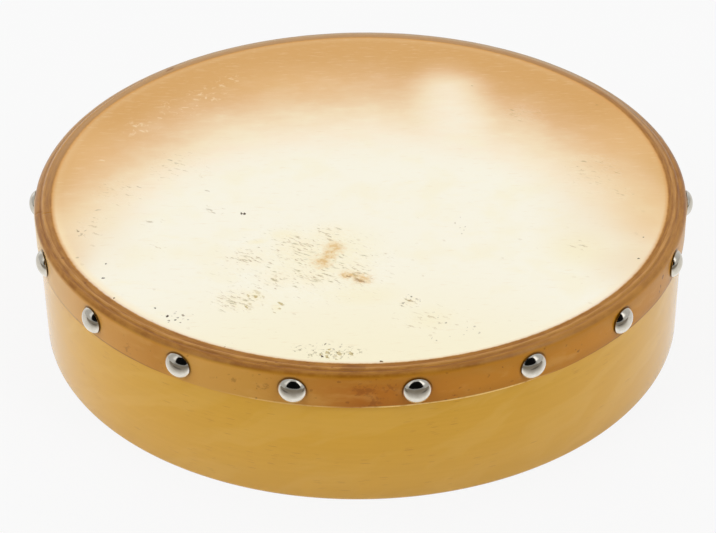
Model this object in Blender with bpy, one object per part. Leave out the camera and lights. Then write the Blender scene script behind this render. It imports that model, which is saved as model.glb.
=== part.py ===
# Hand drum: a natural skin stretched over a two-ply bentwood shell and held by domed tacks.
# Metres, +Z up. The origin is the centre of the shell's open base, and the front faces -Y.

import math

import bmesh
import bpy
from mathutils import Matrix

# Overall size, measured over the skin
HEAD_DIAMETER = 0.250
DRUM_HEIGHT = 0.0559

# Skin
SKIN_THICKNESS = 0.0006
SKIRT_DEPTH = 0.0144  # how far the skin comes down the outside, from the top

# Shell: two hoops, one inside the other
OUTER_PLY_THICKNESS = 0.0021
INNER_PLY_THICKNESS = 0.00355
RIM_STEP = 0.0005  # the outer hoop stands this much lower at the rim
RIDGE_ROUND = 0.0004  # inner hoop's top edge beside the joint
BEARING_ROUND = 0.001  # inner hoop's top edge inside the drum
SHOULDER_ROUND = 0.0015  # outer hoop's top edge
BASE_ROUND = 0.001  # both edges of the base that the drum stands on
GROOVE_RUN = 0.0004  # from the joint out to the bottom of the dip in the skin

# Butt joints where the ends of each hoop meet, turned from the front towards +X
OUTER_SEAM_ANGLE = math.radians(-80.9)
INNER_SEAM_ANGLE = math.radians(-80.1)

# Tacks: the front ones are stepped off evenly, and the others share the rest of the rim
TACK_COUNT = 18
FRONT_TACKS = 10
FRONT_PITCH = math.radians(19.65)
FRONT_ROW_CENTRE = math.radians(-1.25)
TACK_DROP = 0.0081  # from the top of the drum to the tack's centre
TACK_HEAD_DIAMETER = 0.0096
TACK_HEAD_HEIGHT = 0.0027
TACK_HEAD_WALL = 0.0005
TACK_HEAD_LIP = 0.0002  # straight edge round the dome
TACK_SHANK_DIAMETER = 0.0016
TACK_SHANK_LENGTH = 0.0058  # from the seat to the point
TACK_POINT_LENGTH = 0.0018

# Fits
SEAT_GAP = 0.0003  # between pieces that lie on each other
GLUE_GAP = 0.0003  # between the hoops, and between the two ends of each
SHANK_CLEARANCE = 0.0003  # round a tack's shank and past its point

# Facets
RIM_STEPS = 90
TACK_STEPS = 12
HOLE_STEPS = 8
ROUND_STEPS = 3
DOME_STEPS = 4
SMOOTH_BELOW = math.radians(35)
WELD = 1e-6  # joins the copies of a turned outline's points on its axis

# Radii and heights that follow from the sizes above
skin_radius = HEAD_DIAMETER / 2
outer_ply_outside = skin_radius - SKIN_THICKNESS - SEAT_GAP
outer_ply_inside = outer_ply_outside - OUTER_PLY_THICKNESS
inner_ply_outside = outer_ply_inside - GLUE_GAP
inner_ply_inside = inner_ply_outside - INNER_PLY_THICKNESS
inner_ply_top = DRUM_HEIGHT - SKIN_THICKNESS - SEAT_GAP
outer_ply_top = inner_ply_top - RIM_STEP
shoulder_round = min(SHOULDER_ROUND, OUTER_PLY_THICKNESS - GROOVE_RUN)
tack_seat = skin_radius + SEAT_GAP
tack_height = DRUM_HEIGHT - TACK_DROP


def clear_scene():
    for old in list(bpy.data.objects):
        bpy.data.objects.remove(old)


def finish(name, colour, roughness, metallic=0.0):
    material = bpy.data.materials.new(name)
    material.use_nodes = True
    surface = material.node_tree.nodes["Principled BSDF"]
    surface.inputs["Base Color"].default_value = (*colour, 1.0)
    surface.inputs["Roughness"].default_value = roughness
    surface.inputs["Metallic"].default_value = metallic
    return material


def add_object(name, mesh, parent, material=None):
    piece = bpy.data.objects.new(name, mesh)
    bpy.context.scene.collection.objects.link(piece)
    piece.parent = parent
    if material and not mesh.materials:
        mesh.materials.append(material)
    return piece


def smooth_mesh(name, bm):
    """The finished mesh, its faces turned outwards and shaded smooth except at real edges."""
    bmesh.ops.recalc_face_normals(bm, faces=bm.faces[:])
    mesh = bpy.data.meshes.new(name)
    bm.to_mesh(mesh)
    bm.free()
    mesh.shade_smooth()
    mesh.set_sharp_from_angle(angle=SMOOTH_BELOW)
    return mesh


def arc(centre, radius, start, end, steps):
    """Points (r, z) on a circle between two angles in degrees, both ends included."""
    angles = [math.radians(start + (end - start) * i / steps) for i in range(steps + 1)]
    return [(centre[0] + radius * math.cos(a), centre[1] + radius * math.sin(a)) for a in angles]


def hoop_section(inside, outside, top, rounds):
    """A hoop's section, with a rounding for its inner bottom, outer bottom, outer top and inner top."""
    corners = ((inside, 0, 1, 1), (outside, 0, -1, 1), (outside, top, -1, -1), (inside, top, 1, -1))
    points = []
    for turn, ((r, z, to_r, to_z), size) in enumerate(zip(corners, rounds)):
        if size == 0:
            points.append((r, z))
            continue
        centre = (r + to_r * size, z + to_z * size)
        points += arc(centre, size, 180 + 90 * turn, 270 + 90 * turn, ROUND_STEPS)
    return points


def hoop_mesh(name, section):
    """A section bent round Z from one side of its butt joint to the other. The joint faces +X."""
    gap = GLUE_GAP / section[0][0]
    bm = bmesh.new()
    end = bm.faces.new([bm.verts.new((r, 0, z)) for r, z in section])
    bmesh.ops.rotate(bm, verts=end.verts[:], cent=(0, 0, 0), matrix=Matrix.Rotation(gap / 2, 3, "Z"))
    turn = 2 * math.pi - gap
    bmesh.ops.spin(bm, geom=[end], cent=(0, 0, 0), axis=(0, 0, 1), angle=turn, steps=RIM_STEPS)
    return smooth_mesh(name, bm)


def turned_mesh(name, outline, steps):
    """A full turn about Z of an outline that starts and ends on the axis."""
    bm = bmesh.new()
    points = [bm.verts.new((r, 0, z)) for r, z in outline]
    edges = [bm.edges.new(pair) for pair in zip(points, points[1:])]
    around = {"cent": (0, 0, 0), "axis": (0, 0, 1), "angle": 2 * math.pi}
    bmesh.ops.spin(bm, geom=points + edges, steps=steps, use_merge=True, **around)
    bmesh.ops.remove_doubles(bm, verts=bm.verts[:], dist=WELD)
    return smooth_mesh(name, bm)


def make_inner_ply(parent, wood):
    rounds = (BASE_ROUND, 0, RIDGE_ROUND, BEARING_ROUND)
    section = hoop_section(inner_ply_inside, inner_ply_outside, inner_ply_top, rounds)
    ply = add_object("shell_inner_ply", hoop_mesh("shell_inner_ply", section), parent, wood)
    ply.rotation_euler.z = INNER_SEAM_ANGLE - math.pi / 2
    return ply


def make_outer_ply(parent, wood):
    rounds = (0, BASE_ROUND, shoulder_round, 0)
    section = hoop_section(outer_ply_inside, outer_ply_outside, outer_ply_top, rounds)
    ply = add_object("shell_outer_ply", hoop_mesh("shell_outer_ply", section), parent, wood)
    ply.rotation_euler.z = OUTER_SEAM_ANGLE - math.pi / 2
    return ply


def skin_line(lift):
    """From the drum's centre over the rim to the trimmed edge, this far off the wood."""
    ridge = (inner_ply_outside - RIDGE_ROUND, inner_ply_top + lift)
    groove = (outer_ply_inside + GROOVE_RUN, outer_ply_top + lift)
    bend = (outer_ply_outside - shoulder_round, outer_ply_top - shoulder_round)
    shoulder = arc(bend, shoulder_round + lift, 90, 0, ROUND_STEPS)
    trimmed = (outer_ply_outside + lift, DRUM_HEIGHT - SKIRT_DEPTH)
    return [(0, inner_ply_top + lift), ridge, groove, *shoulder, trimmed]


def make_drumhead(parent, skin):
    outline = skin_line(SEAT_GAP + SKIN_THICKNESS) + skin_line(SEAT_GAP)[::-1]
    return add_object("drumhead", turned_mesh("drumhead", outline, RIM_STEPS), parent, skin)


def tack_angles():
    """Round the rim from the front row's left end. The last gaps close the ring evenly."""
    rest_pitch = (2 * math.pi - (FRONT_TACKS - 1) * FRONT_PITCH) / (TACK_COUNT - FRONT_TACKS + 1)
    angle = FRONT_ROW_CENTRE - (FRONT_TACKS - 1) * FRONT_PITCH / 2
    for place in range(TACK_COUNT):
        yield angle
        angle += FRONT_PITCH if place < FRONT_TACKS - 1 else rest_pitch


def tack_place(angle):
    """Where a tack sits: its seat on the skin at the row's height, with its +Z pointing outwards."""
    seated = Matrix.Translation((0, -tack_seat, tack_height))
    return Matrix.Rotation(angle, 4, "Z") @ seated @ Matrix.Rotation(math.pi / 2, 4, "X")


def dome_line(radius, height, foot):
    """A dome's section, half an ellipse from its crown to the edge, on a straight foot."""
    turns = [math.pi / 2 * (1 - i / DOME_STEPS) for i in range(DOME_STEPS + 1)]
    return [(radius * math.cos(t), foot + (height - foot) * math.sin(t)) for t in turns]


def tack_mesh():
    """A pressed dome, hollow underneath, on a pointed shank. The seat is at z = 0."""
    head = TACK_HEAD_DIAMETER / 2
    bore = head - TACK_HEAD_WALL
    shank = TACK_SHANK_DIAMETER / 2
    roof = TACK_HEAD_HEIGHT - TACK_HEAD_WALL
    outside = dome_line(head, TACK_HEAD_HEIGHT, TACK_HEAD_LIP)
    hollow = [(r, z) for r, z in dome_line(bore, roof, TACK_HEAD_LIP) if r > shank]
    under = [(head, 0), (bore, 0), *hollow[::-1], (shank, roof)]
    tip = [(shank, TACK_POINT_LENGTH - TACK_SHANK_LENGTH), (0, -TACK_SHANK_LENGTH)]
    return turned_mesh("tack", outside + under + tip, TACK_STEPS)


def make_tacks(parent, plate):
    mesh = tack_mesh()
    for number, angle in enumerate(tack_angles(), 1):
        tack = add_object(f"tack_{number:02d}", mesh, parent, plate)
        tack.matrix_local = tack_place(angle)


def drill_tack_holes(parent, pieces):
    """Holes for the shanks: through the skin and the outer hoop, and into the inner one."""
    mouth = SEAT_GAP
    depth = TACK_SHANK_LENGTH + SHANK_CLEARANCE
    size = TACK_SHANK_DIAMETER / 2 + SHANK_CLEARANCE
    drill = {"segments": HOLE_STEPS, "radius1": size, "radius2": size, "depth": mouth + depth}
    centred = Matrix.Translation((0, 0, (mouth - depth) / 2))
    bm = bmesh.new()
    for angle in tack_angles():
        bmesh.ops.create_cone(bm, cap_ends=True, matrix=tack_place(angle) @ centred, **drill)
    holes = add_object("tack_holes", smooth_mesh("tack_holes", bm), parent)
    holes.hide_render = True
    holes.display_type = "WIRE"
    for piece in pieces:
        cut = piece.modifiers.new("tack_holes", "BOOLEAN")
        cut.operation = "DIFFERENCE"
        cut.object = holes


def make_drum():
    drum = bpy.data.objects.new("hand_drum", None)
    bpy.context.scene.collection.objects.link(drum)
    wood = finish("lacquered_wood", (0.52, 0.30, 0.055), 0.35)
    skin = finish("natural_skin", (0.82, 0.70, 0.48), 0.5)
    plate = finish("bright_nickel", (0.86, 0.86, 0.84), 0.12, metallic=1.0)
    drilled = (make_inner_ply(drum, wood), make_outer_ply(drum, wood), make_drumhead(drum, skin))
    make_tacks(drum, plate)
    drill_tack_holes(drum, drilled)


clear_scene()
make_drum()
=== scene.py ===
# Looks of a hand drum: natural skin, lacquered bentwood and bright tacks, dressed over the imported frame.
# Metres, +Z up, the front faces -Y. Angles run from the front towards +X. The shaders count in millimetres.

import math

import bmesh
import bpy
from mathutils import Matrix, Vector, noise


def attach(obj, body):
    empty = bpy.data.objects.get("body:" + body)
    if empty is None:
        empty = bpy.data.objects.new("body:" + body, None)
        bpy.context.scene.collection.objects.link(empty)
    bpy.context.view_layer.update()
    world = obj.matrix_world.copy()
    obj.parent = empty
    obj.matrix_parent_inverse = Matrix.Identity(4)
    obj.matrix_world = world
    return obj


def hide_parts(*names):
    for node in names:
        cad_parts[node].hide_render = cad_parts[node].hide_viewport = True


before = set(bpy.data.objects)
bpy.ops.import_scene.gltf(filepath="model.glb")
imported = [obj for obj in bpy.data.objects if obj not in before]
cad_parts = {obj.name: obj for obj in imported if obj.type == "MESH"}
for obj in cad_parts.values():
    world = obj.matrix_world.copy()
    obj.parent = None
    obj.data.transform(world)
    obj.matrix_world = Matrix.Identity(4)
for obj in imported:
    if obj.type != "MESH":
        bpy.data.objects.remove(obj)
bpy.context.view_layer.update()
mm = 0.001


# Shader wiring: a wrapped socket that takes part in Python expressions

class Wire:
    def __init__(self, tree, socket=None):
        self.tree = tree
        self.socket = socket

    def node(self, kind, settings=None, sockets=None, out=0):
        made = self.tree.nodes.new(kind)
        for name, value in (settings or {}).items():
            if name == "stops":
                fillRamp(made.color_ramp, value)
            else:
                setattr(made, name, value)
        for name, value in (sockets or {}).items():
            if isinstance(value, Wire):
                self.tree.links.new(value.socket, made.inputs[name])
            else:
                made.inputs[name].default_value = value
        return Wire(self.tree, made.outputs[out] if made.outputs else None)

    def math(self, operation, *values):
        return self.node("ShaderNodeMath", {"operation": operation}, dict(enumerate(values)))

    def __add__(self, other):
        return self.math("ADD", self, other)

    def __sub__(self, other):
        return self.math("SUBTRACT", self, other)

    def __rsub__(self, other):
        return self.math("SUBTRACT", other, self)

    def __mul__(self, other):
        return self.math("MULTIPLY", self, other)

    def __truediv__(self, other):
        return self.math("DIVIDE", self, other)

    def __pow__(self, other):
        return self.math("POWER", self, other)

    __radd__ = __add__
    __rmul__ = __mul__

    def rise(self, low, high):  # 0 below low, 1 above high, soft between; falls where low is the greater
        ends = {"Value": self, "From Min": low, "From Max": high}
        return self.node("ShaderNodeMapRange", {"interpolation_type": "SMOOTHSTEP"}, ends)

    def top(self, other):
        return self.math("MAXIMUM", self, other)

    def paint(self, colour, under):  # self is the mask that lays colour over what is under it
        return self.node("ShaderNodeMix", {"data_type": "RGBA"}, {0: self, 6: under, 7: colour}, out=2)

    def vector(self, operation, *values):
        return self.node("ShaderNodeVectorMath", {"operation": operation}, dict(enumerate(values)))

    def split(self, kind="ShaderNodeSeparateXYZ"):
        return [self.node(kind, None, {0: self}, out=i) for i in range(3)]

    def cloud(self, scale, detail=2.0, roughness=0.5):
        return self.node("ShaderNodeTexNoise", None,
                         {"Vector": self, "Scale": scale, "Detail": detail, "Roughness": roughness})

    def ramp(self, stops):
        return self.node("ShaderNodeValToRGB", {"stops": stops}, {0: self})

    def band(self, start, full, fading, end):
        return self.rise(start, full) * self.rise(end, fading)

    def twin(self, name):  # another output of the same node
        return Wire(self.tree, self.socket.node.outputs[name])


def fillRamp(ramp, stops):
    while len(ramp.elements) < len(stops):
        ramp.elements.new(1.0)
    for element, (place, colour) in zip(ramp.elements, stops):
        element.position = place
        element.color = colour


def tint(red, green, blue):  # a colour as a picker shows it, from 0 to 255
    parts = [c / 255 for c in (red, green, blue)]
    return (*[c / 12.92 if c <= 0.04045 else ((c + 0.055) / 1.055) ** 2.4 for c in parts], 1.0)


def startMaterial(name):
    material = bpy.data.materials.new(name)
    material.use_nodes = True
    surface = material.node_tree.nodes["Principled BSDF"]
    return material, surface, Wire(material.node_tree)


def feed(surface, **values):
    for name, value in values.items():
        socket = surface.inputs[name.replace("_", " ")]
        if isinstance(value, Wire):
            value.tree.links.new(value.socket, socket)
        else:
            socket.default_value = value


def point(x, y, z=0.0):
    return x.node("ShaderNodeCombineXYZ", None, {0: x, 1: y, 2: z})


def inMillimetres(start):
    place = start.node("ShaderNodeTexCoord", out="Object")
    return start.node("ShaderNodeVectorMath", {"operation": "SCALE"}, {0: place, "Scale": 1 / mm})


def stretched(place, size, turn=0.0, middle=(0, 0)):  # a pattern drawn out to this size, turned and moved
    return place.node("ShaderNodeMapping", {"vector_type": "TEXTURE"},
                      {"Vector": place, "Location": (*middle, 0), "Rotation": (0, 0, math.radians(turn)),
                       "Scale": size})


def patch(place, middle, size, turn=0.0):  # soft oval mask, 1 in its middle
    inside = stretched(place, (*size, 1), turn, middle)
    ball = place.node("ShaderNodeTexGradient", {"gradient_type": "SPHERICAL"}, {"Vector": inside}, out=1)
    return ball.rise(0, 1)


def ruffled(place, amount, scale=0.9):  # bends the pattern laid on it, so that marks come out ragged
    clouds = {"Vector": place, "Scale": scale, "Detail": 3.0}
    drift = place.node("ShaderNodeTexNoise", None, clouds, out="Color")
    even = drift.vector("SUBTRACT", drift, (0.5, 0.5, 0.5))
    return even.vector("MULTIPLY_ADD", even, (amount, amount, 0), place)


def flecks(place, cell, turn, size, crowd):  # scattered short marks, in the share of cells that crowd gives
    spots = stretched(place, (*cell, 1), turn)
    away = spots.node("ShaderNodeTexVoronoi", {"voronoi_dimensions": "2D"}, {"Vector": spots, "Scale": 1.0},
                      out="Distance")
    chance, strength, breadth = away.twin("Color").split("ShaderNodeSeparateColor")
    reach = size * (0.45 + breadth * 0.55)
    return (reach - away).rise(0.0, size * 0.4) * (crowd - chance).rise(0.0, 0.06) * (0.3 + strength * 0.7)


def grazes(place, size, turn, crowd):  # ragged dashes where crowd is high, and the pale lift beside them
    field = stretched(place, (*size, 1), turn).cloud(1.0, 3.0, 0.6) + crowd * 0.11
    here = crowd.rise(0.0, 0.2)
    return field.rise(0.635, 0.74) * here, field.band(0.52, 0.57, 0.6, 0.64) * here


def curls(place, size, breadth):  # thin broken loops, as scratches leave
    field = stretched(place, (size, size, 1)).cloud(1.0, 2.0)
    whole = stretched(place, (size * 0.9, size * 0.6, 1), 35).cloud(1.0, 1.0).rise(0.47, 0.56)
    return field.band(0.5 - breadth, 0.5, 0.5, 0.5 + breadth) * whole


def joined(masks):
    whole = masks[0]
    for mask in masks[1:]:
        whole = whole.top(mask)
    return whole


# The frame's own sizes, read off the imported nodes

def spread(name):
    points = [v.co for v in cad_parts[name].data.vertices]
    around = [p.xy.length for p in points]
    heights = [p.z for p in points]
    return {"inside": min(around), "outside": max(around), "low": min(heights), "high": max(heights)}


skinSize = spread("drumhead")
outerSize = spread("shell_outer_ply")
innerSize = spread("shell_inner_ply")
tackNames = sorted(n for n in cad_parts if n.startswith("tack_"))
seams = {"inner": -80.1, "outer": -80.9}   # where the ends of each hoop meet, in degrees


def aim(name):
    points = [v.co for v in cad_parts[name].data.vertices]
    middle = sum(points, Vector()) / len(points)
    return math.atan2(middle.x, -middle.y)


tackAngles = [aim(n) for n in tackNames]
tackSize = spread(tackNames[0])
tackRadius = (tackSize["high"] - tackSize["low"]) / 2
tackHeight = (tackSize["high"] + tackSize["low"]) / 2


# Mesh helpers

def onRim(angle, radius, height):
    return Vector((radius * math.sin(angle), -radius * math.cos(angle), height))


def wobble(angle, rate, seed):  # smooth, closed round the rim, about -1 to 1
    return noise.noise(Vector((rate * math.cos(angle), rate * math.sin(angle), seed)))


def arcPoints(centre, radius, start, end, steps):
    turns = [math.radians(start + (end - start) * i / steps) for i in range(steps + 1)]
    return [(centre[0] + radius * math.cos(t), centre[1] + radius * math.sin(t)) for t in turns]


def addPiece(name, bm, material, standsFor):
    bmesh.ops.recalc_face_normals(bm, faces=bm.faces[:])
    mesh = bpy.data.meshes.new(name)
    bm.to_mesh(mesh)
    bm.free()
    mesh.shade_smooth()
    mesh.set_sharp_from_angle(angle=math.radians(40))
    mesh.materials.append(material)
    piece = bpy.data.objects.new(name, mesh)
    bpy.context.scene.collection.objects.link(piece)
    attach(piece, "root")
    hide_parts(standsFor)
    return piece


def sweep(angles, outline, shape=None, closed=True):  # rings of (radius, height) points about Z
    bm = bmesh.new()
    rings = []
    for radius, height in outline:
        if radius == 0:
            rings.append([bm.verts.new((0, 0, height))] * len(angles))
            continue
        spots = [shape(a, radius, height) if shape else (radius, height) for a in angles]
        rings.append([bm.verts.new(onRim(a, *s)) for a, s in zip(angles, spots)])
    count = len(angles)
    for low, high in zip(rings, rings[1:]):
        for i in range(count if closed else count - 1):
            j = (i + 1) % count
            corners = dict.fromkeys((low[i], low[j], high[j], high[i]))
            bm.faces.new(list(corners))
    return bm, rings


# Skin

skin = {
    "thickness": 0.6 * mm,
    "steps": 480,
    "flat": 0.10 * mm,       # the playing face lies this far under the ridge
    "groove": 0.50 * mm,     # dip over the joint between the hoops
    "shoulder": 2.4 * mm,    # rounding over the outer hoop
    "edgeWave": 0.25 * mm,   # unevenness of the trimmed edge
    "ridgeWave": 0.06 * mm,
    "dent": 0.12 * mm,       # how far a tack presses the skin in
    "seams": ((seams["inner"], 118.0, 121.8), (seams["outer"], 121.8, 126.0)),  # degrees, and radii in mm
    "seamDepth": 0.16 * mm,
    "seamWidth": 0.22,       # degrees to each side
    "seamSteps": (-0.28, -0.14, -0.05, 0.0, 0.05, 0.14, 0.28),   # degrees, closer steps across a seam
    "cut": 276 * mm,         # the disc before it was wetted and stretched over the hoops
}


def skinOutline():
    top = skinSize["high"]
    flat = top - skin["flat"]
    inner = innerSize["inside"]
    ridge = innerSize["outside"] - 0.42 * mm
    joint = outerSize["inside"]
    outside = skinSize["outside"]
    bend = (outside - skin["shoulder"], top - skin["groove"] - skin["shoulder"])
    face = [(0, flat)]
    face += [(inner * share, flat) for share in (0.2, 0.4, 0.6, 0.75, 0.86, 0.93, 0.975)]
    rim = [
        (inner - 0.35 * mm, flat),
        (inner + 0.15 * mm, flat + 0.04 * mm),
        (inner + 0.8 * mm, flat + 0.05 * mm),
        (inner + 1.7 * mm, flat + 0.03 * mm),
        (ridge - 0.7 * mm, flat + 0.02 * mm),
        (ridge - 0.3 * mm, top - 0.04 * mm),
        (ridge, top),
        (ridge + 0.2 * mm, top - 0.05 * mm),
        (ridge + 0.45 * mm, top - 0.22 * mm),
        (joint + 0.1 * mm, top - skin["groove"] * 0.9),
        (joint + 0.4 * mm, top - skin["groove"] * 1.08),
        (joint + 0.7 * mm, top - skin["groove"] * 1.03),
    ]
    shoulder = arcPoints(bend, skin["shoulder"], 78, 0, 12)
    low = skinSize["low"]
    drop = bend[1] - low
    skirt = [(outside, bend[1] - drop * share) for share in (0.1, 0.2, 0.3, 0.4, 0.5, 0.6, 0.7, 0.8, 0.87)]
    wood = outerSize["outside"] + 0.02 * mm
    edge = [(outside - 0.05 * mm, low + 0.4 * mm), (outside - 0.07 * mm, low), (wood, low)]
    under = [(wood, low + 2.5 * mm), (outside - skin["thickness"], low + 4 * mm)]
    inside = skin["shoulder"] - skin["thickness"]
    under += arcPoints(bend, inside, 0, 80, 6)
    under += [
        (joint + 0.3 * mm, top - skin["groove"] - skin["thickness"]),
        (ridge, top - skin["thickness"] - 0.1 * mm),
        (inner - 0.3 * mm, flat - skin["thickness"]),
        (inner * 0.6, flat - skin["thickness"]),
        (0, flat - skin["thickness"]),
    ]
    return face + rim + shoulder + skirt + edge + under


def skinAngles():
    even = [2 * math.pi * i / skin["steps"] for i in range(skin["steps"])]
    near = [math.radians(s[0] + d) % (2 * math.pi) for s in skin["seams"] for d in skin["seamSteps"]]
    return sorted(set(even + near))


def skinShape(angle, radius, height):
    turn = (math.degrees(angle) + 180) % 360 - 180
    r, z = radius, height
    outer = innerSize["outside"] - 1.2 * mm
    if r > outer:
        z += skin["ridgeWave"] * (wobble(angle, 9, 3.1) + 0.6 * wobble(angle, 34, 7.7) - 1.0)
    for seam, start, end in skin["seams"]:
        if start * mm < radius < end * mm and height > skinSize["low"] + 3 * mm:
            dip = skin["seamDepth"] * max(0.0, 1 - abs(turn - seam) / skin["seamWidth"])
            r, z = (r - dip, z) if height < skinSize["high"] - 2 * mm else (r, z - dip)
    if height < skinSize["low"] + 1.2 * mm and radius > outerSize["outside"]:
        z += skin["edgeWave"] * (wobble(angle, 5, 1.7) + 0.5 * wobble(angle, 21, 5.3) + 0.7)
    if radius > skinSize["outside"] - 0.5 * mm:
        for spot in tackAngles:
            across = (angle - spot + math.pi) % (2 * math.pi) - math.pi
            away = math.hypot(across * radius, height - tackHeight) / tackRadius
            r -= skin["dent"] * max(0.0, 1 - abs(away - 0.85) / 0.75)
    return r, z


def makeSkin(material):
    bm, _ = sweep(skinAngles(), skinOutline(), skinShape)
    piece = addPiece("drum_skin", bm, material, "drumhead")
    math.pi * (skin["cut"] / 2) ** 2


# Hoops of bent wood

hoop = {
    "steps": 480,
    "joint": 0.12 * mm,      # open gap of the butt joint
    "outerRounds": (0.05 * mm, 1.0 * mm, 1.5 * mm, 0.05 * mm),  # corners: low inside, low outside, then up
    "innerRounds": (1.0 * mm, 0.05 * mm, 0.4 * mm, 1.0 * mm),
    "flatness": 0.05 * mm,   # how far the bent wood strays from a true circle
    "panel": 4 * mm,         # about the widest step across the wood
}


def hoopOutline(size, rounds):
    corners = ((size["inside"], 0, 1, 1), (size["outside"], 0, -1, 1),
               (size["outside"], size["high"], -1, -1), (size["inside"], size["high"], 1, -1))
    points = []
    for turn, ((r, z, toR, toZ), rounding) in enumerate(zip(corners, rounds)):
        middle = (r + toR * rounding, z + toZ * rounding)
        points += arcPoints(middle, rounding, 180 + 90 * turn, 270 + 90 * turn, 5)
    walls = []
    for (r0, z0), (r1, z1) in zip(points, points[1:] + points[:1]):
        cuts = max(1, round(math.hypot(r1 - r0, z1 - z0) / hoop["panel"]))
        walls += [(r0 + (r1 - r0) * i / cuts, z0 + (z1 - z0) * i / cuts) for i in range(cuts)]
    return walls


def hoopShape(angle, radius, height):
    stray = hoop["flatness"] * (wobble(angle, 3, 0.4) - 0.8)
    return radius + stray * math.sin(math.pi * height / outerSize["high"]), height


def makeHoop(name, size, seam, rounds, material, node):
    outline = hoopOutline(size, rounds)
    gap = hoop["joint"] / size["outside"]
    start = math.radians(seam) + gap / 2
    angles = [start + (2 * math.pi - gap) * i / hoop["steps"] for i in range(hoop["steps"] + 1)]
    bm, rings = sweep(angles, outline + outline[:1], hoopShape, closed=False)
    bmesh.ops.remove_doubles(bm, verts=rings[0] + rings[-1], dist=1e-7)
    bmesh.ops.holes_fill(bm, edges=[e for e in bm.edges if e.is_boundary])
    addPiece(name, bm, material, node)


# Tacks

tack = {
    "steps": 48,
    "rows": 16,              # from the crown to the brow
    "spread": 0.20 * mm,     # the pressed edge flares this far past the solid's
    "rise": 2.72 * mm,       # crown above the seat
    "brow": 18.0,            # degrees: where the dome's oval stops short of upright
    "seat": 0.26 * mm,       # the pressed edge stands this far off the skin
    "wall": 0.45 * mm,
    "lip": 0.18 * mm,
    "lean": 1.6,             # degrees, as hammered in by hand
    "shank": 0.8 * mm,
    "length": 5.5 * mm,
    "point": 1.8 * mm,       # the tapered end of the shank
}


def tackOutline():
    head = tackRadius + tack["spread"]
    bore = head - tack["wall"]
    roof = tack["rise"] - tack["wall"]
    low = math.radians(tack["brow"])
    swell = (tack["rise"] - tack["lip"]) / (1 - math.sin(low))
    turns = [math.pi / 2 + (low - math.pi / 2) * i / tack["rows"] for i in range(1, tack["rows"] + 1)]
    wide = head / math.cos(low)
    dome = [(0, tack["rise"])]
    dome += [(wide * math.cos(t), tack["lip"] + swell * (math.sin(t) - math.sin(low))) for t in turns]
    rolled = [(head - 0.03 * mm, 0.05 * mm), (head - 0.12 * mm, 0), (bore, 0.02 * mm)]
    hollow = [(bore * math.cos(t), roof * math.sin(t)) for t in (0.25, 0.6, 0.95, 1.25)]
    tip = [(tack["shank"], roof), (tack["shank"], tack["point"] - tack["length"]), (0, -tack["length"])]
    return dome + rolled + hollow + tip


def makeTack(number, name, material):
    angle = aim(name)
    bm, _ = sweep([2 * math.pi * i / tack["steps"] for i in range(tack["steps"])], tackOutline())
    lean = math.radians(tack["lean"])
    tilt = Matrix.Rotation(lean * wobble(angle, 4, 2.2), 4, "X")
    tilt = tilt @ Matrix.Rotation(lean * wobble(angle, 4, 8.8), 4, "Y")
    seat = skinSize["outside"] + tack["seat"]
    place = Matrix.Rotation(angle, 4, "Z") @ Matrix.Translation((0, -seat, tackHeight))
    bm.transform(place @ Matrix.Rotation(math.pi / 2, 4, "X") @ tilt)
    addPiece(f"tack_dome_{number:02d}", bm, material, name)


# Finishes

skinLook = {
    # painted shade: the face goes tan where the hoop's far wall shows through the translucent skin, and pale
    # towards the front
    "stainAndShade": ((0.0, tint(214, 163, 96)), (0.2, tint(225, 181, 129)), (0.38, tint(234, 200, 156)),
              (0.58, tint(242, 219, 182)), (0.8, tint(247, 232, 205)), (1.0, tint(247, 242, 224))),
    "shadeRun": (11, 109),            # mm from the far side of the hoop, from full painted shade to none
    "glow": ((38, 62), (23, 43), 5),  # painted highlight, a pale streak in the painted shade: middle and half size in mm, degrees
    "highlightTop": ((37, 76), (25, 14), -2),
    "deep": ((-38, 76), (32, 20)),    # where the painted shade reaches further in
    "cloud": tint(246, 237, 204),
    "fibre": tint(226, 198, 150),
    "borderHighlight": tint(250, 228, 184),
    "halo": tint(247, 233, 196),
    "rub": ((-20, -57), (46, 36)),    # where the worn marks spread thinly: middle and half size in mm
    "scuff": tint(150, 132, 62),
    "lift": tint(253, 250, 238),
    "umber": tint(156, 118, 48),
    "worn": tint(182, 156, 104),
    "flush": tint(232, 187, 128),
    "side": tint(234, 200, 146),
    "smudge": tint(230, 194, 132),
    "streak": tint(214, 170, 102),
    "core": tint(150, 102, 40),
    "straw": tint(176, 148, 50),
    "fleck": tint(66, 46, 16),
    "speck": tint(96, 66, 18),
    "stroke": tint(142, 116, 62),
    "scratch": tint(244, 218, 176),
    "weed": tint(128, 108, 28),
    "rim": (tint(144, 88, 16), tint(174, 118, 38)),
    "seep": tint(217, 157, 84),
    "ridge": tint(196, 142, 72),
    "groove": tint(122, 68, 0),
    "gold": tint(188, 126, 26),
    "farRim": tint(190, 146, 90),
    "farEdgeReflection": tint(190, 170, 142),
    # tone of the lapped skin round the drum, with painted glare near -82 degrees
    "skirt": ((-180, tint(206, 150, 70)), (-135, tint(208, 154, 74)), (-88, tint(233, 197, 139)),
              (-82, tint(253, 234, 198)), (-76, tint(232, 197, 140)), (-66, tint(218, 174, 110)),
              (-57, tint(215, 164, 92)), (-46, tint(209, 148, 60)), (-35, tint(198, 134, 42)),
              (-27, tint(215, 158, 68)), (-18, tint(208, 151, 58)), (0, tint(184, 108, 10)),
              (18, tint(200, 131, 28)), (38, tint(202, 132, 16)), (60, tint(197, 133, 26)),
              (90, tint(206, 156, 80)), (180, tint(206, 150, 70))),   # degrees from the front
    "paleSkirt": tint(216, 162, 78),
    "grime": tint(112, 54, 6),
    "tackShade": tint(52, 24, 4),
    "cutEdge": tint(255, 220, 136),
    "edgeShade": tint(112, 62, 8),
}
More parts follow.
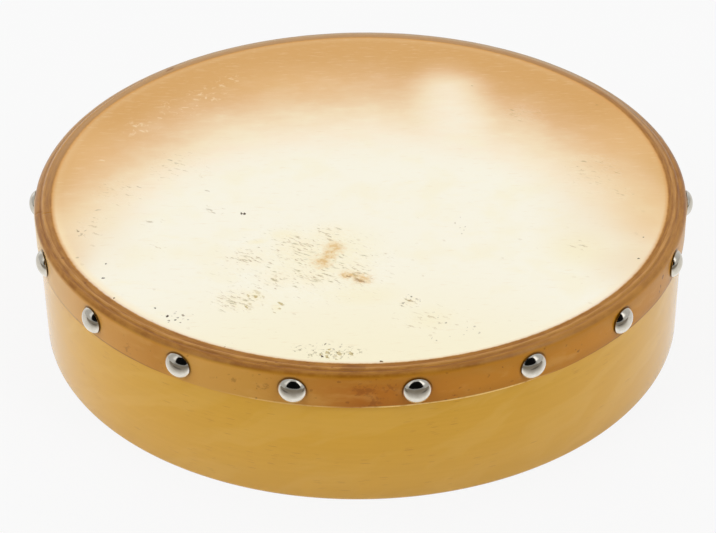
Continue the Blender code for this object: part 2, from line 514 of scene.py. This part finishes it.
facePatches = {  # marks on the playing face: middle and half size in mm, and degrees
    "flush": (((108, 28), (34, 34)), ((-108, 22), (34, 36)), ((-28, 76), (48, 26)), ((112, -34), (24, 44)),
              ((-110, -52), (16, 26))),
    "side": (((106, -20), (50, 62)), ((-116, -30), (44, 56)), ((100, -60), (26, 30))),
    "scuff": (((-23, -46), (13, 14)), ((-42, -53), (12, 12)), ((-12, -37), (11, 10)), ((-3, -63), (12, 14)),
              ((-17, -66), (13, 12)), ((-43, -80), (15, 11)), ((-30, -66), (12, 10)), ((17, -82), (6, 5))),
    "smudge": (((-9.6, -46.2), (7.6, 7.4)), ((-14.0, -56.0), (7.2, 8.0)), ((-11.4, -51.0), (5.6, 9.0), -16),
               ((-5.0, -65.0), (5.4, 5.0)), ((0.2, -67.2), (7.4, 6.6), -30)),
    "core": (((-0.4, -68.3), (5.0, 1.5), -33), ((-4.4, -65.8), (2.2, 1.2), -30)),
    "straw": (((-38, -77), (5, 6)), ((-39.5, -83), (4, 5)), ((-29.5, -85), (4, 5)), ((-9, -113), (9, 5))),
    "cloud": (((-28, -38), (12, 8)), ((-38, -42), (7, 3), 10), ((-38, -77), (7, 5), -40),
              ((-30, -85), (4, 6), 20), ((-16, -54), (34, 30)), ((0, -78), (30, 16)), ((24, -94), (26, 22)),
              ((80, -50), (22, 22)), ((-8, -48), (26, 26))),
    "fleck": (((-44.8, -22.5), (0.6, 1.1)), ((-43.7, -22.6), (0.75, 1.2)), ((-68.3, -89.2), (0.8, 1.0)),
              ((-13.6, -114.2), (0.65, 0.8)), ((6.4, -117.6), (0.8, 0.7)), ((17.8, -78.8), (0.6, 0.5)),
              ((-92.8, -55.7), (0.6, 0.7)), ((-93.0, -64.8), (0.8, 0.6)), ((-73.0, -84.2), (0.5, 0.6)),
              ((-88.0, -77.6), (0.5, 0.6)), ((-65.2, -91.7), (0.5, 0.6)), ((104.4, -41.9), (0.55, 0.42)),
              ((100.8, -56.2), (0.55, 0.42))),
    "stroke": (((-105.6, -33.2), (0.6, 1.9), 24), ((-103.8, -35.8), (0.6, 1.8), -18),
               ((-102.6, -33.2), (0.5, 1.2), -40), ((-103.8, -51.2), (0.8, 1.0)),
               ((-99.2, -18.8), (2.0, 0.6), 20), ((-78.9, -27.6), (2.2, 0.7), -5),
               ((-57.0, -19.4), (2.6, 0.7), -32), ((-55.4, -21.6), (1.6, 0.6), -30),
               ((-74.3, 17.3), (2.2, 0.7), -28), ((-72.0, 15.0), (1.4, 0.6), -28),
               ((-58.6, -6.1), (2.0, 0.7), -22), ((-84.9, -2.6), (2.4, 0.5), -34),
               ((87.3, 12.4), (2.2, 0.5), -24), ((81.2, -46.8), (2.2, 0.4), -6), ((46.7, 73.8), (0.8, 0.6)),
               ((96.6, 56.8), (1.2, 0.5), 10), ((61.9, 53.5), (1.8, 0.6), -30), ((35.2, -30.8), (0.6, 1.2))),
    "nick": (((-90.2, 44.0), (2.0, 1.1), -40), ((-87.0, 40.0), (2.6, 0.7), -38),
             ((-65.4, 69.0), (2.4, 0.7), 8), ((-62.8, 66.6), (0.9, 1.7)), ((-66.6, 65.2), (2.6, 0.6), -14),
             ((-56.6, 76.6), (2.8, 0.7), -36), ((-53.2, 82.2), (2.4, 0.7), -30),
             ((-50.8, 80.4), (1.8, 0.6), -28), ((-71.0, 58.6), (2.8, 0.6), -10),
             ((-80.6, 50.4), (2.0, 0.6), -20), ((-101.0, 17.8), (2.2, 0.9), -30),
             ((-84.4, 47.0), (1.6, 0.5))),
    "scratch": (((-88, 42), (12, 11)), ((-72, 58), (15, 13)), ((-62, 69), (14, 11)), ((-53, 80), (10, 10))),
    "crease": (((90, 4), (16, 20)), ((66, 50), (12, 10)), ((100, -11), (6, 6)), ((81, -47), (8, 5)),
               ((-92, -6), (14, 16)), ((-70, 12), (18, 16)), ((-56, -20), (8, 6)), ((-79, -28), (8, 6)),
               ((-74, -46), (8, 6)), ((-100, -30), (8, 14)), ((-48, -77), (10, 7)), ((24, -92), (20, 14))),
    "speck": (((-66, -90), (12, 7)), ((-104, -34), (3, 5)), ((-45, -108), (8, 3)), ((-11, -111.5), (17, 7)),
              ((37.5, -34), (2.5, 12)), ((17, -82), (6, 6)), ((29, -90), (6, 9)), ((38, -100), (6, 6)),
              ((28, -105), (6, 5))),
    "weed": (((-10, -112), (17, 6)), ((-20, -110), (7, 5))),
}
skirtPatches = {  # marks down its side: middle along the arc and up, half size in mm, and degrees
    "grime": (((4, 49), (17, 8)), ((3, 43), (12, 3)), ((32, 44), (4, 3)), ((-46.5, 48.2), (5, 3)),
              ((-35, 48.0), (6, 4)), ((-90, 46), (5, 6))),
    "crack": (((133.9, 50.2), (1.2, 1.5), -30), ((132.4, 46.8), (0.6, 1.5), 10),
              ((131.4, 45.2), (0.6, 1.2)), ((144.6, 42.4), (1.6, 0.9))),
}
rimPatches = {  # marks on the rim, as on the face
    "nick": (((-99.2, -67.8), (0.9, 1.1)), ((-109.0, -51.4), (1.2, 1.2)), ((-79.2, 91.1), (4.0, 1.2), 49)),
    "dot": (((-22, -118), (34, 10)),),
    "stainAndShade": (((-3, -121), (10, 4)),),
}
rimBands = {  # mm from the middle: where a tone starts, is full, fades and ends
    "ridge": (120.6, 121.0, 121.6, 122.0),
    "groove": (122.05, 122.35, 122.6, 122.95),
    "paleFront": (120.4, 121.4),
    "paleBack": (119.8, 121.4),
    "shoulder": (123.6, 124.5),
}
lapBands = {  # the same, in mm out from the inside of the hoop
    "borderHighlight": (-4.0, -0.8, -0.2, 0.2),
    "seep": (-1.1, 0.3, 0.5, 1.1),
    "lap": (0.05, 0.8),
    "sheen": (0.6, 1.5),
}
skirtBands = {  # the same, in mm up
    "shoulder": (54.6, 53.0),
    "goldTop": (54.5, 53.4),
    "gold": (48.5, 53.0),
    "shade": (46.5, 42.5),
    "edge": (skinSize["low"] / mm + 0.75, skinSize["low"] / mm + 0.35),
}


def crowdOf(plan, spots):
    return joined([patch(plan, *spot) for spot in spots])


def faceColour(plan, x, y, edge):
    inner = innerSize["inside"] / mm
    run = (inner * inner - x * x).top(0.0) ** 0.5 - y   # to the far side of the hoop, square to the front
    side = x.math("ABSOLUTE", x).band(40, 95, 96, 130)
    mottle = stretched(plan, (13, 6, 1)).cloud(1.0, 5.0, 0.62)
    broad = plan.cloud(0.035, 2.0)
    # painted shade through the skin from the far wall, deeper at the sides
    pale = (run * (1 - side * 0.12) + (mottle - 0.5) * 15 + (broad - 0.5) * 14).rise(*skinLook["shadeRun"])
    # painted highlight: pale streaks laid over the painted shade
    glow = patch(plan, *skinLook["glow"]) * 0.42 + patch(plan, *skinLook["highlightTop"]) * 0.17
    deep = patch(plan, *skinLook["deep"]) * 0.1
    colour = (pale + glow - deep).ramp(skinLook["stainAndShade"])
    colour = (crowdOf(plan, facePatches["flush"]) * 0.5).paint(skinLook["flush"], colour)
    drift = plan.cloud(0.05, 3.0).rise(0.45, 0.72).top(mottle.rise(0.5, 0.8)) * pale * 0.45
    warm = crowdOf(plan, facePatches["cloud"]).top(run.rise(160, 235) * 0.95)
    colour = drift.top(warm * 0.85).paint(skinLook["cloud"], colour)
    colour = (crowdOf(plan, facePatches["side"]) * 0.46).paint(skinLook["side"], colour)
    lines = stretched(plan, (7, 1.25, 1)).cloud(1.0, 3.0, 0.6)
    colour = (lines.rise(0.58, 0.74) * 0.2).paint(skinLook["fibre"], colour)
    colour = (lines.rise(0.46, 0.3) * (1 - pale) * 0.22).paint(skinLook["scratch"], colour)
    # painted highlight: a thin bright line where the face meets the rim
    line = edge.band(*lapBands["borderHighlight"]) * y.rise(-112, -70) * x.rise(105, 70)
    return (line * (0.1 + pale * 0.4)).paint(skinLook["borderHighlight"], colour)


def scuffed(plan, colour):
    torn = ruffled(plan, 2.0)
    bent = ruffled(plan, 1.1, 0.45)
    ragged = plan.cloud(0.5, 4.0, 0.7) - 0.5
    rubbed = crowdOf(plan, facePatches["scuff"])
    colour = (rubbed * 0.45).paint(skinLook["halo"], colour)
    uneven = plan.cloud(0.16, 2.0).rise(0.35, 0.65)
    crowd = (rubbed * (0.6 + uneven * 0.5)).top(patch(plan, *skinLook["rub"]) * 0.5)
    for size, turn, hue, share in (((5.4, 1.15), -28, "scuff", 0.58), ((3.6, 1.0), -38, "umber", 0.52)):
        dark, lift = grazes(bent, size, turn, crowd)
        colour = (lift * 0.16).paint(skinLook["lift"], colour)
        colour = (dark * share).paint(skinLook[hue], colour)
    smudge = crowdOf(ruffled(plan, 3.4, 0.4), facePatches["smudge"])
    blurred = (smudge * 0.85 + ragged * 1.5).rise(0.05, 1.1) * smudge.rise(0.0, 0.2)
    colour = (blurred * 0.85).paint(skinLook["smudge"], colour)
    colour = (blurred.rise(0.6, 1.0) * 0.4).paint(skinLook["streak"], colour)
    core = crowdOf(torn, facePatches["core"])
    dark = (core + ragged * 0.8).rise(0.2, 0.9) * core.rise(0.0, 0.15)
    colour = (dark * 0.65).paint(skinLook["core"], colour)
    straw = flecks(torn, (3.6, 1.6), -55, 0.6, crowdOf(plan, facePatches["straw"]) * 1.2)
    return (straw * 0.75).paint(skinLook["straw"], colour)


def specked(plan, y, colour):
    torn = ruffled(plan, 1.6)
    bent = ruffled(plan, 1.4, 0.5)
    faint = flecks(torn, (4.0, 2.4), -30, 0.30, y.rise(20, -40) * 0.05)
    colour = (faint * 0.3).paint(skinLook["worn"], colour)
    dark, lift = grazes(torn, (4.2, 1.3), -28, crowdOf(plan, facePatches["crease"]) * 0.75)
    colour = (lift * 0.07).paint(skinLook["lift"], colour)
    colour = (dark * 0.42).paint(skinLook["worn"], colour)
    colour = (crowdOf(bent, facePatches["stroke"]).rise(0.1, 0.8) * 0.42).paint(skinLook["stroke"], colour)
    crowd = crowdOf(plan, facePatches["speck"]).rise(0.0, 0.6)
    for cell, turn, size, share in (((4.2, 2.8), 62, 0.20, 0.34), ((2.0, 1.3), -20, 0.30, 0.28)):
        specks = flecks(torn, cell, turn, size, crowd * share + 0.003)
        colour = (specks * 0.8).paint(skinLook["speck"], colour)
    weed = curls(torn, 2.4, 0.05) * crowdOf(plan, facePatches["weed"]).rise(0.1, 0.5)
    colour = (weed * 0.55).paint(skinLook["weed"], colour)
    colour = crowdOf(torn, facePatches["fleck"]).rise(0.1, 0.5).paint(skinLook["fleck"], colour)
    loops = curls(bent, 5.0, 0.028) * crowdOf(plan, facePatches["scratch"]).rise(0.05, 0.6)
    nicks = crowdOf(bent, facePatches["nick"]).rise(0.1, 0.8)
    return (loops * 0.45).top(nicks * 0.6).paint(skinLook["scratch"], colour)


def rimColour(plan, x, y, z, r, far):
    around = point(x / r * 14.0, y / r * 14.0, r * 1.3 + z * 1.2)
    streak = around.cloud(1.0, 4.0, 0.65).rise(0.3, 0.7)
    colour = streak.paint(skinLook["rim"][1], skinLook["rim"][0])
    colour = (z.rise(*skirtBands["goldTop"]) * 0.75).paint(skinLook["gold"], colour)
    colour = (far * (0.85 - streak * 0.3)).paint(skinLook["farRim"], colour)
    # painted highlight along the ridge's crest, partly wear
    ridge = r.band(*rimBands["ridge"]) * (0.3 + streak * 0.5)
    colour = ridge.paint(skinLook["ridge"], colour)
    # painted shade in the dip over the joint between the hoops
    groove = r.band(*rimBands["groove"]) * (0.62 - streak * 0.35) * (1 - far * 0.5)
    calm = y.rise(-40, 20) * x.rise(40, 90) * 0.8
    colour = (groove * (1 - calm)).paint(skinLook["groove"], colour)
    # more of the painted ridge highlight at the front
    front = y.rise(-10, -50) * x.rise(20, 70)
    colour = (r.rise(*rimBands["paleFront"]) * front * 0.3).paint(skinLook["ridge"], colour)
    # painted reflection: the outer band of the far rim paler, as the background glances off it
    back = (y + x * 0.2).rise(20, 120)
    colour = (back * r.rise(*rimBands["paleBack"]) * (0.7 - streak * 0.3)).paint(skinLook["farEdgeReflection"], colour)
    nicks = crowdOf(plan, rimPatches["nick"])
    colour = (nicks.rise(0.1, 0.7) * 0.55).paint(skinLook["groove"], colour)
    dots = flecks(plan, (2.6, 1.6), 15, 0.28, crowdOf(plan, rimPatches["dot"]) * 0.6)
    colour = (dots * 0.6).paint(skinLook["grime"], colour)
    # a stain on the rim itself, in the same dark tint as the painted edge shade
    stainAndShade = (crowdOf(plan, rimPatches["stainAndShade"]) * 1.1 - plan.cloud(0.8, 4.0, 0.7)).rise(-0.05, 0.4)
    return (stainAndShade * 0.35).paint(skinLook["edgeShade"], colour)


def skirtColour(place, arc, z, turn):
    strip = point(arc, z)
    # tone round the drum, with painted glare near -82 degrees
    colour = (turn / 360 + 0.5).ramp([(degrees / 360 + 0.5, hue) for degrees, hue in skinLook["skirt"]])
    blotch = stretched(place, (15, 15, 6)).cloud(1.0, 3.0, 0.6)
    colour = (blotch.rise(0.5, 0.72) * 0.4).paint(skinLook["paleSkirt"], colour)
    upper = (z + (blotch - 0.5) * 6).rise(*skirtBands["gold"]) * turn.rise(-18, 2)
    colour = (upper * 0.6).paint(skinLook["gold"], colour)
    smear = stretched(place, (2.8, 2.8, 2.8)).cloud(1.0, 6.0, 0.72)
    crowd = crowdOf(strip, skirtPatches["grime"])
    colour = ((smear + crowd * 0.24).rise(0.685, 0.785) * 0.34).paint(skinLook["grime"], colour)
    torn = ruffled(strip, 1.2)
    front = turn.math("ABSOLUTE", turn - 2.0)
    for cell, lean, size, share in (((3.4, 2.2), 20, 0.28, 0.12), ((1.9, 1.5), -30, 0.32, 0.09)):
        specks = flecks(torn, cell, lean, size, front.rise(60, 10) * share + 0.02)
        colour = (specks * 0.5).paint(skinLook["grime"], colour)
    cracks = crowdOf(torn, skirtPatches["crack"])
    colour = (cracks.rise(0.1, 0.7) * 0.75).paint(skinLook["grime"], colour)
    # painted shade: darker towards the skirt's lower part, from the front round to the right, in the grime
    # tint
    colour = (z.rise(*skirtBands["shade"]) * turn.rise(-8, 2) * 0.14).paint(skinLook["grime"], colour)
    edge = z.rise(*skirtBands["edge"])
    uneven = stretched(strip, (6, 90, 1)).cloud(1.0, 3.0)
    line = turn.band(-4, 5, 24, 34).top(turn.band(-26, -14, -8, 2) * 0.5) * uneven.rise(0.28, 0.5)
    colour = (edge * line * 0.9).paint(skinLook["cutEdge"], colour)
    colour = (edge * front.rise(30, 46) * (0.15 + uneven * 0.6)).paint(skinLook["edgeShade"], colour)
    reach = tackRadius / mm * 2
    heads = [(skinSize["outside"] / mm * angle, tackHeight / mm + 0.3) for angle in tackAngles]
    shade = crowdOf(strip, [(head, (reach, reach)) for head in heads])
    ring = shade.rise(0.3, 0.45) * 0.12 + shade.rise(0.41, 0.46) * 0.46
    return ring.paint(skinLook["tackShade"], colour)


def skinMaterial():
    material, surface, start = startMaterial("natural_skin")
    place = inMillimetres(start)
    plan = place.vector("MULTIPLY", place, (1, 1, 0))
    x, y, z = place.split()
    r = (x * x + y * y) ** 0.5
    turn = x.math("ARCTAN2", x, 0 - y) * math.degrees(1)
    arc = turn * (skinSize["outside"] / mm * math.radians(1))
    grit = place.cloud(0.5, 2.0)
    far = (y - x * 0.35).rise(0, 110)
    ring = r + x.rise(98, 122) * 1.2   # the lap lies further in on the right, and wanders all round
    slant = y.rise(-55, -85) * (x.rise(50, -90) - 0.5) * 0.7 + (y + x * 0.2).rise(20, 120) * 0.7
    wander = x.rise(-100, -122) * 0.6 + far * 0.35 + slant + (grit - 0.5) * 0.5
    edge = ring + wander - innerSize["inside"] / mm
    lap = edge.rise(*lapBands["lap"])
    drop = r.rise(*rimBands["shoulder"]) * z.rise(*skirtBands["shoulder"])
    colour = specked(plan, y, scuffed(plan, faceColour(plan, x, y, edge)))
    colour = lap.paint(rimColour(plan, x, y, z, ring, far), colour)
    seep = edge.band(*lapBands["seep"]) * (0.26 + y.rise(-100, -30) * 0.3)
    colour = seep.paint(skinLook["seep"], colour)
    colour = drop.paint(skirtColour(place, arc, z, turn), colour)
    fibre = stretched(plan, (2.9, 1.1, 1)).cloud(1.0, 4.0, 0.6)
    pores = place.cloud(1.6, 3.0, 0.6)
    grain = fibre * 0.5 + pores * (0.4 + lap * 0.6)
    lumps = start.node("ShaderNodeBump", None, {"Height": grain, "Strength": 0.16, "Distance": 0.25 * mm})
    sheen = edge.rise(*lapBands["sheen"])
    rough = 0.5 - sheen * (0.2 - drop * 0.1) + (pores - 0.5) * 0.14
    gloss = sheen * (0.4 - drop * 0.15 + far * 0.2)
    feed(surface, Base_Color=colour, Roughness=rough, Coat_Weight=gloss, Normal=lumps)
    feed(surface, Specular_IOR_Level=0.2, Coat_Roughness=0.14, Coat_IOR=1.45)
    return material


woodLook = {
    "dark": tint(220, 166, 46),
    "light": tint(223, 169, 50),
    "figure": tint(234, 187, 88),
    "pore": tint(178, 116, 34),
    "rawAndBounceLight": tint(228, 190, 128),
    "grain": (0.022, 0.55),     # per mm along the hoop and across it
    "inside": (120.6, 119.6),   # mm from the middle, where the bare inner face starts
}


def woodMaterial():
    material, surface, start = startMaterial("lacquered_wood")
    place = inMillimetres(start)
    turned = stretched(place, (1, 1, 1), seams["outer"] - 180)   # puts the joint at the jump of the angle
    x, y, z = turned.split()
    r = (x * x + y * y) ** 0.5
    arc = x.math("ARCTAN2", x, 0 - y) * (outerSize["outside"] / mm)
    board = point(arc, z, r * 3.0)
    sway = stretched(board, (80, 33, 5)).cloud(1.0, 2.0)
    along, across = woodLook["grain"]
    lines = point(arc * along, (z + (sway - 0.5) * 9) * across, r)
    grain = lines.cloud(1.0, 5.0, 0.6)
    colour = grain.rise(0.32, 0.7).paint(woodLook["light"], woodLook["dark"])
    figure = stretched(ruffled(board, 30, 0.02), (48, 10, 10), 22).cloud(1.0, 3.0)
    colour = (figure.band(0.48, 0.62, 0.64, 0.8) * 0.24).paint(woodLook["figure"], colour)
    grouped = stretched(board, (34, 14, 10)).cloud(1.0, 2.0).rise(0.44, 0.66)
    pores = flecks(board, (8.0, 0.8), 0, 0.30, grouped * 0.5)
    colour = (pores * 0.45).paint(woodLook["pore"], colour)
    # painted light: the wood paler towards the floor, as light bounced from it
    colour = (z.rise(24, 2) * 0.12).paint(woodLook["rawAndBounceLight"], colour)
    # the bare inner face and the worn low edge, in the raw wood's tint
    inside = r.rise(*woodLook["inside"])
    worn = z.rise(1.8, 0.2) * (0.3 + grain)
    colour = (inside * 0.5).top(worn * 0.5).paint(woodLook["rawAndBounceLight"], colour)
    relief = grain + pores * -0.6
    bumps = start.node("ShaderNodeBump", None, {"Height": relief, "Strength": 0.04, "Distance": 0.2 * mm})
    rough = 0.34 + grain * 0.16 + inside * 0.2
    feed(surface, Base_Color=colour, Roughness=rough, Coat_Weight=0.8 - inside * 0.5, Normal=bumps)
    feed(surface, Specular_IOR_Level=0.12, Coat_Roughness=0.10, Coat_IOR=1.40)
    return material


plateLook = {
    "bright": tint(234, 229, 217),
    "dull": tint(225, 219, 205),
}


def plateMaterial():
    material, surface, start = startMaterial("bright_nickel")
    haze = inMillimetres(start).cloud(0.6, 3.0)
    colour = haze.rise(0.35, 0.7).paint(plateLook["bright"], plateLook["dull"])
    feed(surface, Base_Color=colour, Metallic=1.0, Roughness=0.04 + haze * 0.07)
    return material


# Stage: pale floor, white tent with two side boxes and a dark opening towards the camera

stage = {
    "white": 0.949,          # floor and backdrop as the camera and the gloss see them
    "shade": 0.06,           # share of the real shadow that they see on the floor
    "floorSize": 6.0,
    "floor": 0.95,
    "sides": (0.6, 0.48),             # tent walls: as light, and as gloss shows them
    "back": (1.0, 0.62),
    "backLeft": (1.1, 0.85),
    "left": 0.5,                      # more light from the left wall
    "boxes": (4.4, 1.25),
    "leftBox": (4.4, 0.8),
    "ceiling": (1.14, 0.6),
    "opening": (0.004, 0.004),
    "table": (0.3, 0.27),             # what lies under the opening
    "backTurn": (105, 140),           # degrees from the front
    "leftTurn": (-60, -100),
    "backLeftTurn": (-178, -160, -136, -118),
    "boxTurn": (44, 48, 58, 84),      # a box starts, is full, fades, ends
    "boxRise": (16, 28, 58, 68),
    "openingSize": (49, 16, 51, 11),  # a rounded gap: half width, waist, and reach above and below the waist
    "openingEdge": (1.15, 0.85),
    "openingRise": (3, 7),
    "ceilingTurn": (48, 66),
    "ceilingRise": (58, 68),
    "tableTurn": (60, 46),
    "tableRise": (16, 4),
    "apron": (0.146, 4.6),            # metres out, where the floor's reflection darkens, and how fast
    "apronTint": tint(114, 106, 94),
    "apronFront": (-0.08, -0.17),     # across this stretch of Y it comes to its full strength
    "streaks": (((-0.165, -0.218), (0.125, 0.050)), ((0.165, -0.218), (0.125, 0.050))),
    "streakTint": tint(70, 62, 52),
}


def makeFloor():
    bpy.ops.mesh.primitive_plane_add(size=stage["floorSize"])
    floor = bpy.context.object
    floor.name = "floor"
    material = bpy.data.materials.new("floor")
    material.use_nodes = True
    material.node_tree.nodes.clear()
    start = Wire(material.node_tree)
    place = start.node("ShaderNodeTexCoord", out="Object")
    x, y, _ = place.split()
    seen = start.node("ShaderNodeLightPath", out="Is Camera Ray")
    mirrored = start.node("ShaderNodeLightPath", out="Is Glossy Ray")
    lit = start.node("ShaderNodeBsdfDiffuse", None, {"Color": (stage["floor"],) * 3 + (1,)})
    near, fall = stage["apron"]
    away = ((x * x + y * y) ** 0.5).top(near)
    apron = (1 - (away / near) ** -fall) * (0.35 + y.rise(*stage["apronFront"]) * 0.65) * mirrored
    colour = apron.paint(stage["apronTint"], (stage["white"],) * 3 + (1,))
    for streak in stage["streaks"]:
        colour = (patch(place, *streak).rise(0.0, 0.6) * mirrored * 0.9).paint(stage["streakTint"], colour)
    glow = start.node("ShaderNodeEmission", None, {"Color": colour, "Strength": 1.0})
    share = (seen + mirrored) * (1 - stage["shade"])
    mixed = start.node("ShaderNodeMixShader", None, {0: share, 1: lit, 2: glow})
    start.node("ShaderNodeOutputMaterial", None, {0: mixed})
    floor.data.materials.append(material)


def makeWorld():
    world = bpy.data.worlds.new("tent")
    bpy.context.scene.world = world
    world.use_nodes = True
    world.node_tree.nodes.clear()
    start = Wire(world.node_tree)
    x, y, z = start.node("ShaderNodeTexCoord", out="Generated").split()
    up = z.math("ARCSINE", z) * math.degrees(1)
    around = x.math("ARCTAN2", x, 0 - y) * math.degrees(1)
    turn = x.math("ABSOLUTE", around)
    mirrored = start.node("ShaderNodeLightPath", out="Is Glossy Ray")

    def level(name):
        lit, shown = stage[name]
        return lit + mirrored * (shown - lit)

    width, waist, above, below = stage["openingSize"]
    oval = (turn / width) ** 3 + ((up - waist).top(0.0) / above) ** 4 + ((waist - up).top(0.0) / below) ** 2
    box = turn.band(*stage["boxTurn"]) * up.band(*stage["boxRise"])
    light = level("sides") + around.rise(*stage["leftTurn"]) * (1 - mirrored) * stage["left"]
    for name, where in (("back", turn.rise(*stage["backTurn"])),
                        ("backLeft", around.band(*stage["backLeftTurn"])),
                        ("boxes", box * around.rise(-1, 1)),
                        ("leftBox", box * around.rise(1, -1)),
                        ("ceiling", turn.rise(*stage["ceilingTurn"]) * up.rise(*stage["ceilingRise"])),
                        ("table", turn.rise(*stage["tableTurn"]) * up.rise(*stage["tableRise"])),
                        ("opening", oval.rise(*stage["openingEdge"]) * up.rise(*stage["openingRise"]))):
        light = light + where * (level(name) - light)
    seen = start.node("ShaderNodeLightPath", out="Is Camera Ray")
    strength = light + seen * (stage["white"] - light)
    sky = start.node("ShaderNodeBackground", None, {"Color": (1, 1, 1, 1), "Strength": strength})
    start.node("ShaderNodeOutputWorld", None, {0: sky})


view = {
    "distance": 876.98 * mm,
    "elevation": 34.638,     # degrees, as the three turns below
    "yaw": 0.0803,
    "pitch": 0.8784,
    "roll": 0.6703,
    "lens": 110.47,
    "sensor": 36.0,
    "near": 0.01,
}


def makeCamera():
    lift = math.radians(view["elevation"])
    data = bpy.data.cameras.new("photo_camera")
    data.lens = view["lens"]
    data.sensor_width = view["sensor"]
    data.clip_start = view["near"]
    camera = bpy.data.objects.new("photo_camera", data)
    bpy.context.scene.collection.objects.link(camera)
    where = Matrix.Translation((0, -view["distance"] * math.cos(lift), view["distance"] * math.sin(lift)))
    turn = Matrix.Rotation(math.pi / 2 - lift, 4, "X")
    turn = turn @ Matrix.Rotation(math.radians(view["yaw"]), 4, "Y")
    turn = turn @ Matrix.Rotation(math.radians(view["pitch"]), 4, "X")
    turn = turn @ Matrix.Rotation(math.radians(-view["roll"]), 4, "Z")
    camera.matrix_world = where @ turn
    bpy.context.scene.camera = camera


makeCamera()
makeFloor()
makeWorld()
bpy.context.scene.view_settings.view_transform = "Standard"
print("stage ready")

makeSkin(skinMaterial())
print("skin ready")

wood = woodMaterial()
makeHoop("outer_hoop", outerSize, seams["outer"], hoop["outerRounds"], wood, "shell_outer_ply")
makeHoop("inner_hoop", innerSize, seams["inner"], hoop["innerRounds"], wood, "shell_inner_ply")
print("hoops ready")

plate = plateMaterial()
for number, name in enumerate(tackNames, 1):
    makeTack(number, name, plate)
print("tacks ready")
